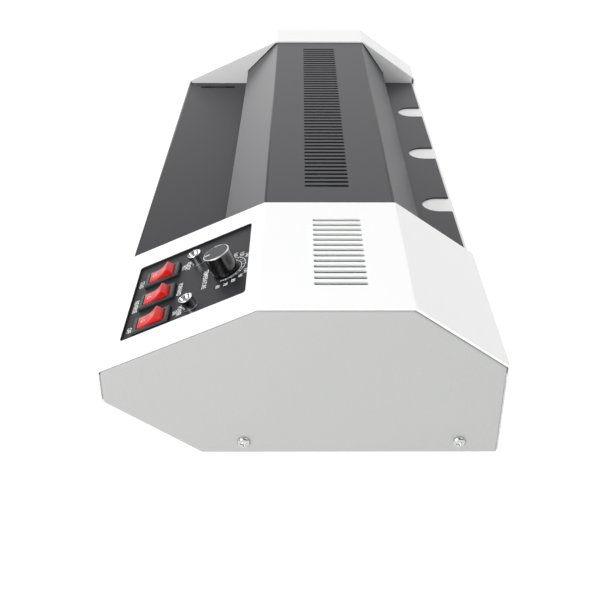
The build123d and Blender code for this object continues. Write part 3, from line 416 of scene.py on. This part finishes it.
def rocker_shape():
    """Level rocker about its pivot, width along X."""
    shape = bmesh.new()
    half = ROCKER_WIDTH / 2
    start = Vector((-half, ROCKER_RADIUS * cos(LOW_ANGLE), ROCKER_RADIUS * sin(LOW_ANGLE)))
    bmesh.ops.spin(shape, geom=[shape.verts.new(start)], cent=(0, 0, 0), axis=(1, 0, 0),
                   angle=EDGE_ANGLE - LOW_ANGLE, steps=ARC_STEPS)
    bmesh.ops.mirror(shape, geom=shape.verts[:] + shape.edges[:], axis="Y", merge_dist=0)
    dish_centre = (0, 0, CREST - DISH + DISH_RADIUS)
    swing = 2 * asin(CHORD / DISH_RADIUS)
    edge = shape.verts.new((-half, CHORD, CREST))
    bmesh.ops.spin(shape, geom=[edge], cent=dish_centre, axis=(1, 0, 0), angle=-swing,
                   steps=DISH_STEPS)
    shape.verts.ensure_lookup_table()
    low_side = [v for v in shape.verts if abs(v.co.z - start.z) < MERGE]
    shape.edges.new(low_side[:2])
    bmesh.ops.remove_doubles(shape, verts=shape.verts, dist=MERGE)
    side = bmesh.ops.contextual_create(shape, geom=shape.edges[:])["faces"]
    drawn = bmesh.ops.extrude_face_region(shape, geom=side)
    moved = [item for item in drawn["geom"] if isinstance(item, bmesh.types.BMVert)]
    bmesh.ops.translate(shape, verts=moved, vec=(ROCKER_WIDTH, 0, 0))
    bmesh.ops.recalc_face_normals(shape, faces=shape.faces)
    sharp = [e for e in shape.edges if e.calc_face_angle(0) > radians(35) and e.verts[0].co.z > 0]
    bmesh.ops.bevel(shape, geom=sharp, offset=RIM_BLEND, segments=4, affect="EDGES",
                    profile=0.5, material=-1)
    return shape


def rocker_seat(name):
    """Matrix from a level rocker at the origin to its rest position on its own pivot."""
    pivot = Vector(joints[name + "_switch"]["pos_m"])
    lift = (pivot - COVER_POINT).dot(OUT) - PANEL_LEVEL
    return on_slope(pivot, lift) @ Matrix.Rotation(REST_TILT, 4, "X")


for name in SWITCHES:
    red = piece(name + "_rocker_moulding", rocker_shape(), rocker_red, name + "_rocker_body",
                rocker_seat(name))
    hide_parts(name + "_rocker")
print("rockers: three, dished", DISH / MM, "mm")

# %% [markdown]
# Each end of a rocker carries a moulded mark filled with white: a ring at the end that is down at
# rest, a bar near the raised end. A mark follows the dish, so it is drawn flat, then dropped on to
# the rocker's arc.

# %% Rocker marks
STROKE = 0.32 * MM
RING_AT, RING_RADIUS, RING_SQUEEZE = -3.4 * MM, 1.15 * MM, 0.75
BAR_AT, BAR_LENGTH = 2.9 * MM, 2.2 * MM
MARK_PROUD = 0.02 * MM


def drop_on_dish(shape):
    """Move a flat drawing down on to the dished top of a level rocker."""
    for v in shape.verts:
        fall = (DISH_RADIUS ** 2 - v.co.y ** 2) ** 0.5
        v.co.z += CREST - DISH + DISH_RADIUS - fall + MARK_PROUD


def ring_mark():
    """Flat oval ring, narrow across the rocker."""
    shape = bmesh.new()
    start = [shape.verts.new((RING_RADIUS + side * STROKE / 2, 0, 0)) for side in (-1, 1)]
    edge = shape.edges.new(start)
    bmesh.ops.spin(shape, geom=start + [edge], axis=(0, 0, 1), cent=(0, 0, 0), angle=2 * pi,
                   steps=32, use_merge=True)
    bmesh.ops.scale(shape, verts=shape.verts, vec=(RING_SQUEEZE, 1, 1))
    bmesh.ops.translate(shape, verts=shape.verts, vec=(0, RING_AT, 0))
    return shape


def bar_mark():
    """Flat bar along the rocker's length."""
    shape = bmesh.new()
    bmesh.ops.create_grid(shape, x_segments=1, y_segments=8, size=0.5)
    bmesh.ops.scale(shape, verts=shape.verts, vec=(STROKE, BAR_LENGTH, 1))
    bmesh.ops.translate(shape, verts=shape.verts, vec=(0, BAR_AT, 0))
    return shape


for name in SWITCHES:
    for label, mark in (("off_ring", ring_mark()), ("on_bar", bar_mark())):
        drop_on_dish(mark)
        bmesh.ops.recalc_face_normals(mark, faces=mark.faces)
        piece(name + "_" + label, mark, print_white, name + "_rocker_body", rocker_seat(name))
print("rocker marks: rings and bars")

# %% [markdown]
# ## Knob
# The knob is turned and then ribbed: every second line of its side is pulled in a little, which
# gives the thin bright streaks seen down a polished fluted knob. Its top is a dull grey disc set in
# a bright turned ring, with a white line that points at the scale. All four pieces ride on the knob
# body, so they turn together.

# %% Knob
KNOB_LOW, KNOB_HIGH = 0.5 * MM, 12.2 * MM
RIBS = 48
RIB_PULL = 0.982
SIDE_INSET = 7 * MM
POINTER_SIZE = (0.7 * MM, 3.0 * MM, 0.12 * MM)


def knob_shape():
    """Ribbed knob, hollow underneath."""
    shape = lathe([
        (3.0 * MM, KNOB_LOW + 4 * MM), (6.6 * MM, KNOB_LOW + 4 * MM), (6.6 * MM, KNOB_LOW),
        (7.3 * MM, KNOB_LOW), (7.5 * MM, KNOB_LOW + 0.2 * MM), (7.5 * MM, KNOB_LOW + 1.2 * MM),
        (7.42 * MM, KNOB_LOW + 1.6 * MM), (7.36 * MM, KNOB_HIGH - 1.5 * MM),
        (7.36 * MM, KNOB_HIGH - 0.6 * MM), (7.1 * MM, KNOB_HIGH - 0.3 * MM),
        (6.7 * MM, KNOB_HIGH - 0.4 * MM), (0, KNOB_HIGH - 0.4 * MM),
    ], 2 * RIBS)
    for v in shape.verts:
        out_by = (v.co.x ** 2 + v.co.y ** 2) ** 0.5
        on_side = KNOB_LOW + 1.5 * MM < v.co.z < KNOB_HIGH - 1.4 * MM and out_by > SIDE_INSET
        step = round(atan2(v.co.y, v.co.x) * RIBS / pi)
        if on_side and step % 2:
            v.co.x *= RIB_PULL
            v.co.y *= RIB_PULL
    return shape


knob_seat = on_slope(COVER_POINT, 0)
top = KNOB_HIGH
knob_body = piece("knob_body_moulding", knob_shape(), knob_black, "knob", knob_seat, 25)
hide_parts("temperature_knob")
piece("knob_top_disc", lathe([
    (0, top - 0.4 * MM), (0, top - 0.12 * MM), (6.92 * MM, top - 0.12 * MM),
    (6.95 * MM, top - 0.4 * MM),
]), knob_face, "knob", knob_seat)
piece("knob_rim", lathe([
    (6.9 * MM, top - 0.5 * MM), (6.9 * MM, top - 0.08 * MM), (7.0 * MM, top),
    (7.2 * MM, top - 0.08 * MM), (7.38 * MM, top - 0.3 * MM), (7.4 * MM, top - 0.6 * MM),
    (7.25 * MM, top - 0.65 * MM), (6.9 * MM, top - 0.5 * MM),
]), knob_rim, "knob", knob_seat)
pointer = bmesh.new()
bmesh.ops.create_cube(pointer, size=1.0)
bmesh.ops.scale(pointer, verts=pointer.verts, vec=POINTER_SIZE)
bmesh.ops.translate(pointer, verts=pointer.verts, vec=(0, -5.0 * MM, top - 0.08 * MM))
piece("knob_pointer", pointer, print_white, "knob", knob_seat)
print("knob:", RIBS, "ribs")

# %% [markdown]
# ## Lamps
# Each lamp is a chromed tube with a rolled rim and a thin foot. The lens sits deep in it with a
# domed end. Both are spun from outlines, and the tube keeps the nut and tail behind the panel.

# %% Lamps
def tube_outline():
    """Section of a lamp's tube, a closed loop from the foot round the rim and down the bore."""
    loop = [(2.8, -10.0), (3.2, -10.0), (3.2, -4.0), (5.5, -4.0), (5.5, -1.5), (3.2, -1.5), (3.2, 0.0),
            (4.1, 0.0), (4.1, 0.15), (4.0, 0.25), (3.97, 0.5), (3.95, 5.2), (4.0, 5.45), (4.0, 5.75),
            (3.9, 5.95), (3.75, 6.0), (3.6, 5.9), (3.5, 5.4), (3.3, 4.7), (2.95, 4.1), (2.8, 3.6),
            (2.8, -10.0)]
    return in_mm(loop)


def lens_outline():
    """Section of a clear lamp body with a domed end, up from the bottom of its tail."""
    dome = [(2.75 * cos(radians(a)), 2.2 + 1.6 * sin(radians(a))) for a in range(0, 91, 10)]
    return in_mm([(0, -2.5), (2.75, -2.5), *dome[:-1], (0, 3.8)])


for name in ("ready", "power"):
    seat = on_slope(centre(name + "_lamp_bezel"), 0)
    tube = piece(name + "_lamp_tube", lathe(tube_outline()), chrome, "case", seat)
    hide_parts(name + "_lamp_bezel")
    glass = piece(name + "_lamp_glass", lathe(lens_outline()), lens_clear, "case", seat)
    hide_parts(name + "_lamp_lens")
print("lamps: two chrome tubes and lenses")

# %% [markdown]
# ## Painted shadow round the panel window
# A thin black strip lines the cut edge of the panel's window. It is painted shadow: it stands in for
# the
# shade on that cut edge, which would otherwise show as white steel round the panel. It is one closed
# band:
# a rounded rectangle walked twice, just inside the cut and a hair further in, at the panel and at the
# cover's surface.

# The panel laps behind the cover by more at its sides than above and below.

# %% Painted shadow strip round the window
LAP_ALONG, LAP_UP = 4.0 * MM, 2.0 * MM
CORNER = 2.0 * MM
SHADOW_STRIP_GAP, SHADOW_STRIP_INSET = 0.01 * MM, 0.12 * MM
SHADOW_STRIP_TOP = -PANEL_LEVEL - 0.02 * MM


def rounded_path(half_x, half_y, radius, steps=6):
    """Points round a rounded rectangle about the origin, anticlockwise."""
    path = []
    for turn, (sx, sy) in enumerate(((1, 1), (-1, 1), (-1, -1), (1, -1))):
        for step in range(steps + 1):
            angle = (turn + step / steps) * pi / 2
            path.append((sx * (half_x - radius) + radius * cos(angle),
                         sy * (half_y - radius) + radius * sin(angle)))
    return path


panel_points = [v.co - COVER_POINT for v in nodes["control_panel"].data.vertices]
across = [p.dot(ALONG) for p in panel_points]
upwards = [p.dot(UPWARD) for p in panel_points]
half_x = (max(across) - min(across)) / 2 - LAP_ALONG
half_y = (max(upwards) - min(upwards)) / 2 - LAP_UP
middle = COVER_POINT + ALONG * (max(across) + min(across)) / 2 + UPWARD * (
    max(upwards) + min(upwards)) / 2
shadow_strip = bmesh.new()
loops = []
for inset, height in ((SHADOW_STRIP_GAP, 0), (SHADOW_STRIP_GAP, SHADOW_STRIP_TOP), (SHADOW_STRIP_INSET, SHADOW_STRIP_TOP), (SHADOW_STRIP_INSET, 0)):
    path = rounded_path(half_x - inset, half_y - inset, CORNER)
    loops.append([shadow_strip.verts.new((x, y, height)) for x, y in path])
for first, second in zip(loops, loops[1:] + loops[:1]):
    for i in range(len(first)):
        j = (i + 1) % len(first)
        shadow_strip.faces.new((first[i], first[j], second[j], second[i]))
bmesh.ops.recalc_face_normals(shadow_strip, faces=shadow_strip.faces)
# Painted shadow: a near-black strip where the window's cut edge lies in shade.
piece("window_edge_painted_shadow", shadow_strip, switch_nylon, "case", on_slope(middle, 0))
print("window", round(2 * half_x / MM, 1), "by", round(2 * half_y / MM, 1), "mm")

# %% [markdown]
# ## Printed words and dial scale
# The panel is screen printed in white: a word at each end of every switch, a name beside each lamp
# and a ring of temperatures round the knob. A font curve gives each word. It is turned into a mesh,
# squeezed to the width that the print has, and laid on the panel. All of the print becomes one piece.

# %% Printed words
INK = 0.03 * MM
CAP, LETTER = 2.8 * MM, 1.9 * MM
INK_SPREAD = 0.018
LAST_GAP = 0.95
BELOW, ABOVE, UNDER_LAMP = -13.7 * MM, 13.2 * MM, -6.4 * MM


def word(text, height, letter):
    """A word as a thin flat mesh, centred on the origin, so many metres a letter."""
    curve = bpy.data.curves.new("word", "FONT")
    curve.body = text
    curve.resolution_u = 3
    curve.offset = INK_SPREAD
    holder = bpy.data.objects.new("word", curve)
    mesh = bpy.data.meshes.new_from_object(holder)
    shape = bmesh.new()
    shape.from_mesh(mesh)
    bpy.data.objects.remove(holder)
    bpy.data.curves.remove(curve)
    bpy.data.meshes.remove(mesh)
    xs = [v.co.x for v in shape.verts]
    ys = [v.co.y for v in shape.verts]
    bmesh.ops.translate(shape, verts=shape.verts,
                        vec=(-(min(xs) + max(xs)) / 2, -(min(ys) + max(ys)) / 2, 0))
    wide = letter * len(text) * LAST_GAP / (max(xs) - min(xs))
    tall = height / (max(ys) - min(ys))
    bmesh.ops.scale(shape, verts=shape.verts, vec=(wide, tall, 1))
    return shape


def add_print(sheet, shape, x, up):
    """Put a flat drawing on the printed sheet at a place measured from the knob's axis."""
    bmesh.ops.translate(shape, verts=shape.verts, vec=(x, up, 0))
    mesh = bpy.data.meshes.new("drawing")
    shape.to_mesh(mesh)
    shape.free()
    sheet.from_mesh(mesh)
    bpy.data.meshes.remove(mesh)


def from_knob(point):
    """Where a point lies on the slope, along and up, from the knob's axis."""
    step = Vector(point) - COVER_POINT
    return step.dot(ALONG), step.dot(UPWARD)


printed = bmesh.new()
heat_at, way_at, power_at = [
    from_knob(joints[name + "_switch"]["pos_m"]) for name in SWITCHES]
ready_at, live_at = from_knob(centre("ready_lamp_bezel")), from_knob(centre("power_lamp_bezel"))
for text, (x, up), shift in (
    ("COLD", heat_at, BELOW), ("HOT", heat_at, ABOVE),
    ("REVERSE", way_at, BELOW), ("FORWARD", way_at, ABOVE),
    ("OFF", power_at, BELOW), ("ON", power_at, ABOVE),
    ("READY", ready_at, UNDER_LAMP), ("POWER", live_at, UNDER_LAMP),
    ("TEMPERATURE", (0.3 * MM, -12.5 * MM), 0),
):
    add_print(printed, word(text, CAP, LETTER), x, up + shift)
print("words printed:", len(printed.faces), "faces")

# %% [markdown]
# The scale is a crescent of two lines that meet at the cool end and open out as it gets hotter, with
# a tick across it at every tenth degree and a number outside each tick. Angles run clockwise from
# straight up the slope, as a person at the panel reads them.

# %% Dial scale
COOL, STEP, STEPS = 60, 10, 10
COOL_ANGLE, STEP_ANGLE = 105.0, -17.6
INNER, OUTER_COOL, OUTER_HOT = 9.2 * MM, 9.5 * MM, 12.0 * MM
OPENING = 1.25
LINE, TICK = 0.30 * MM, 0.7 * MM
NUMBER_RADIUS, NUMBER_HEIGHT, NUMBER_LETTER = 14.9 * MM, 2.5 * MM, 1.5 * MM
ARC_POINTS = 60


def spoke(angle, radius):
    """Point on the dial at a clock angle, in degrees from straight up the slope."""
    return Vector((radius * sin(radians(angle)), radius * cos(radians(angle)), 0))


def ribbon(sheet, points, width):
    """Draw a line of even width through points on the printed sheet."""
    sides = []
    for index, point in enumerate(points):
        before = points[max(index - 1, 0)]
        after = points[min(index + 1, len(points) - 1)]
        across = (after - before).normalized().cross(Vector((0, 0, 1))) * width / 2
        sides.append((sheet.verts.new(point - across), sheet.verts.new(point + across)))
    for (a, b), (c, d) in zip(sides, sides[1:]):
        sheet.faces.new((a, b, d, c))


def outer_radius(share):
    """The crescent's outer line, a share of the way from the cool tip to the hot end."""
    return OUTER_COOL + (OUTER_HOT - OUTER_COOL) * min(1.0, share * OPENING)


shares = [i / ARC_POINTS for i in range(ARC_POINTS + 1)]
angles = [COOL_ANGLE + STEP_ANGLE * STEPS * share for share in shares]
ribbon(printed, [spoke(a, INNER) for a in angles], LINE)
ribbon(printed, [spoke(a, outer_radius(s)) for a, s in zip(angles, shares)], LINE)
for mark in range(STEPS + 1):
    angle = COOL_ANGLE + STEP_ANGLE * mark
    ribbon(printed, [spoke(angle, INNER), spoke(angle, outer_radius(mark / STEPS) + TICK)], LINE)
    place = spoke(angle, NUMBER_RADIUS)
    number = word(str(COOL + STEP * mark), NUMBER_HEIGHT, NUMBER_LETTER)
    add_print(printed, number, place.x, place.y)
bmesh.ops.recalc_face_normals(printed, faces=printed.faces)
for face in printed.faces:
    if face.normal.z < 0:
        face.normal_flip()
piece("panel_print", printed, print_white, "case", on_slope(COVER_POINT, INK))
print("dial runs from", COOL, "to", COOL + STEPS * STEP)

# %% [markdown]
# ## Screws
# A pan-head screw has a domed head and a cross sunk in it. The dome is spun, and a boolean cuts it
# with two crossed bars. The result is kept as plain mesh and copied to every screw. The CAD node
# says where the screws are: each separate solid in it is one. Each screw is left turned by a
# different amount, as a hand leaves them.

# %% End plate screws
HEAD_HEIGHT = 2.0 * MM
CROSS_LENGTH, CROSS_WIDTH = 3.6 * MM, 0.85 * MM
FIRST_TURN, TURN_PER_METRE = 40, 900


def screw_mesh():
    """Pan head with a cross recess, head towards +Z and shank below."""
    head = lathe(in_mm([(0, -7), (1.95, -7), (1.95, 0), (3.3, 0), (3.3, 0.7), (3.15, 1.2),
                        (2.8, 1.6), (2.2, 1.88), (1.2, 2.0), (0, 2.03)]), 64)
    bars = bmesh.new()
    for length, width in ((CROSS_LENGTH, CROSS_WIDTH), (CROSS_WIDTH, CROSS_LENGTH)):
        made = bmesh.ops.create_cube(bars, size=1.0)["verts"]
        bmesh.ops.scale(bars, verts=made, vec=(length, width, 2.4 * MM))
        bmesh.ops.translate(bars, verts=made, vec=(0, 0, 2.2 * MM))
    made = []
    for name, shape in (("head", head), ("bars", bars)):
        mesh = bpy.data.meshes.new(name)
        shape.to_mesh(mesh)
        shape.free()
        made.append(bpy.data.objects.new(name, mesh))
        bpy.context.scene.collection.objects.link(made[-1])
    cut = made[0].modifiers.new("cross", "BOOLEAN")
    cut.object = made[1]
    cut.operation = "DIFFERENCE"
    cut.solver = "EXACT"
    cut.use_self = True
    bpy.context.view_layer.update()
    whole = made[0].evaluated_get(bpy.context.evaluated_depsgraph_get())
    mesh = bpy.data.meshes.new_from_object(whole)
    for item in made:
        bpy.data.objects.remove(item)
    return mesh


def solid_boxes(name):
    """Lowest and highest corners of each separate solid in a CAD node, found along its edges."""
    shape = bmesh.new()
    shape.from_mesh(nodes[name].data)
    bmesh.ops.remove_doubles(shape, verts=shape.verts, dist=MERGE)
    seen, boxes = set(), []
    for start in shape.verts:
        if start in seen:
            continue
        group, stack = [], [start]
        seen.add(start)
        while stack:
            at = stack.pop()
            group.append(at.co.copy())
            for other in (edge.other_vert(at) for edge in at.link_edges):
                if other not in seen:
                    seen.add(other)
                    stack.append(other)
        boxes.append([Vector([pick(c[i] for c in group) for i in range(3)]) for pick in (min, max)])
    shape.free()
    return boxes


one_screw = screw_mesh()
screw_boxes = solid_boxes("end_plate_screws")
screws = bmesh.new()
for low, high in screw_boxes:
    outward = 1 if low.x > 0 else -1
    middle = (low + high) / 2
    seat_x = (high.x if outward > 0 else low.x) - outward * HEAD_HEIGHT
    lay = Matrix.Rotation(outward * pi / 2, 4, "Y")
    twist = Matrix.Rotation(radians(FIRST_TURN + TURN_PER_METRE * middle.y), 4, "Z")
    turn = Matrix.Translation((seat_x, middle.y, middle.z)) @ lay @ twist
    start = len(screws.verts)
    screws.from_mesh(one_screw)
    screws.verts.ensure_lookup_table()
    bmesh.ops.transform(screws, matrix=turn, verts=screws.verts[start:])
heads = piece("end_plate_screw_heads", screws, zinc_screw, "case", smooth=30)
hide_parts("end_plate_screws")
print("end plate screws:", len(screw_boxes))

# %% [markdown]
# ## Pressure springs
# A spring shortens as its roller lifts, with its top coil held by the frame. The CAD springs can't
# change shape, so a copy of each mesh stands in for them. The copy rides on the case and is not
# flattened.

# %% Pressure springs
for side in ("front", "rear"):
    name = side + "_pressure_springs"
    low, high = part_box(name)
    coil = bmesh.new()
    coil.from_mesh(nodes[name].data)
    spring = piece(side + "_spring_coils", coil, spring_wire, "case", smooth=60)
    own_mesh(spring)
    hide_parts(name)

# %% [markdown]
# ## Soft sheet edges
# Sheet steel is never sharp: coating rounds every cut edge. CAD meshes are left as they are, but a
# modifier may soften them. Weld joins the corners, a planar dissolve clears the flat faces of their
# triangles, and a small bevel on the sharp edges catches the light.

# %% Soft edges
def soften(name, width, segments):
    """Round the sharp edges of a CAD node with modifiers only."""
    target = nodes[name]
    weld = target.modifiers.new("join", "WELD")
    weld.merge_threshold = MERGE
    flat = target.modifiers.new("flatten", "DECIMATE")
    flat.decimate_type = "DISSOLVE"
    flat.angle_limit = radians(0.5)
    bevel = target.modifiers.new("soften", "BEVEL")
    bevel.width = width
    bevel.segments = segments
    bevel.limit_method = "ANGLE"
    bevel.angle_limit = radians(30)
    bevel.harden_normals = True


# Thick end plates have the widest edges, moulded housings the next, folded sheet the finest.
for width, segments, names in (
    (0.45 * MM, 3, ("control_end_plate", "far_end_plate")),
    (0.25 * MM, 2, ("control_end_cover", "far_end_cover", "middle_cover", "feed_table", "exit_tray",
                    "base_tray", "control_inner_wall", "far_inner_wall", "control_panel")),
    (0.35 * MM, 3, tuple(name + "_switch_housing" for name in SWITCHES)),
):
    for name in names:
        soften(name, width, segments)
print("edges softened")

# %% [markdown]
# ## Lights and floor
# The light is a white product tent. The sky is brighter towards the far end, which keeps the near
# end plate a tone darker than the tops. Two long softboxes stand at the sides, a low one lights
# the far end, and one at the control end lights the end plate. The floor glows a little, so it stays
# white and throws light up under the covers. It is only a stage and isn't part of the machine.

# %% Lights and floor
SKY_FAR, SKY_NEAR = 1.32, 0.2
FLOOR_HALF = 6.0
FLOOR_GLOW = 0.94
SOFTBOXES = (  # name, place, target, size in metres, watts
    ("left_softbox", (-0.1, -1.1, 1.2), (0, 0, 0.08), (1.6, 1.0), 7.5),
    ("far_softbox", (-2.4, -0.85, 0.25), (-0.1, 0, 0.08), (1.2, 0.5), 3.2),
    ("right_softbox", (-0.1, 1.1, 1.2), (0, 0, 0.08), (1.6, 1.0), 7),
    ("end_softbox", (1.5, -0.7, 0.55), (0.1, 0, 0.05), (0.9, 0.7), 17),
)


def softbox(name, place, target, size, power):
    """A rectangular area light at a place, aimed at a target."""
    data = bpy.data.lights.new(name, "AREA")
    data.shape = "RECTANGLE"
    data.size, data.size_y = size
    data.energy = power
    lamp = bpy.data.objects.new(name, data)
    bpy.context.scene.collection.objects.link(lamp)
    lamp.location = place
    lamp.rotation_euler = (Vector(target) - Vector(place)).to_track_quat("-Z", "Y").to_euler()


world = bpy.data.worlds.new("white_studio")
bpy.context.scene.world = world
world.use_nodes = True
sky = world.node_tree
sky.nodes.clear()
facing = node(sky, "ShaderNodeTexCoord")
parts = node(sky, "ShaderNodeSeparateXYZ", {"Vector": (facing, "Generated")})
fall = node(sky, "ShaderNodeMapRange", {"Value": (parts, "X"), "From Min": -1.0, "From Max": 1.0,
                                        "To Min": SKY_FAR, "To Max": SKY_NEAR})
glow = node(sky, "ShaderNodeBackground", {"Strength": (fall, "Result")})
node(sky, "ShaderNodeOutputWorld", {"Surface": (glow, "Background")})
for settings in SOFTBOXES:
    softbox(*settings)

floor = bmesh.new()
bmesh.ops.create_grid(floor, x_segments=1, y_segments=1, size=FLOOR_HALF)
floor_mesh = bpy.data.meshes.new("studio_floor")
floor.to_mesh(floor_mesh)
floor.free()
studio_floor = bpy.data.objects.new("studio_floor", floor_mesh)
bpy.context.scene.collection.objects.link(studio_floor)
# Matt acrylic with no shine of its own, lit from below.
floor_material, floor_tree, floor_shader = blank("lit_white_acrylic")
floor_shader.inputs["Base Color"].default_value = colour("#6C6C6C")
floor_shader.inputs["Roughness"].default_value = 0.9
floor_shader.inputs["Specular IOR Level"].default_value = 0.0
floor_shader.inputs["Emission Color"].default_value = (1, 1, 1, 1)
floor_shader.inputs["Emission Strength"].default_value = FLOOR_GLOW
studio_floor.data.materials.append(floor_material)

bpy.context.scene.view_settings.view_transform = "Standard"
print("lights:", len(SOFTBOXES), "softboxes and a graded sky")
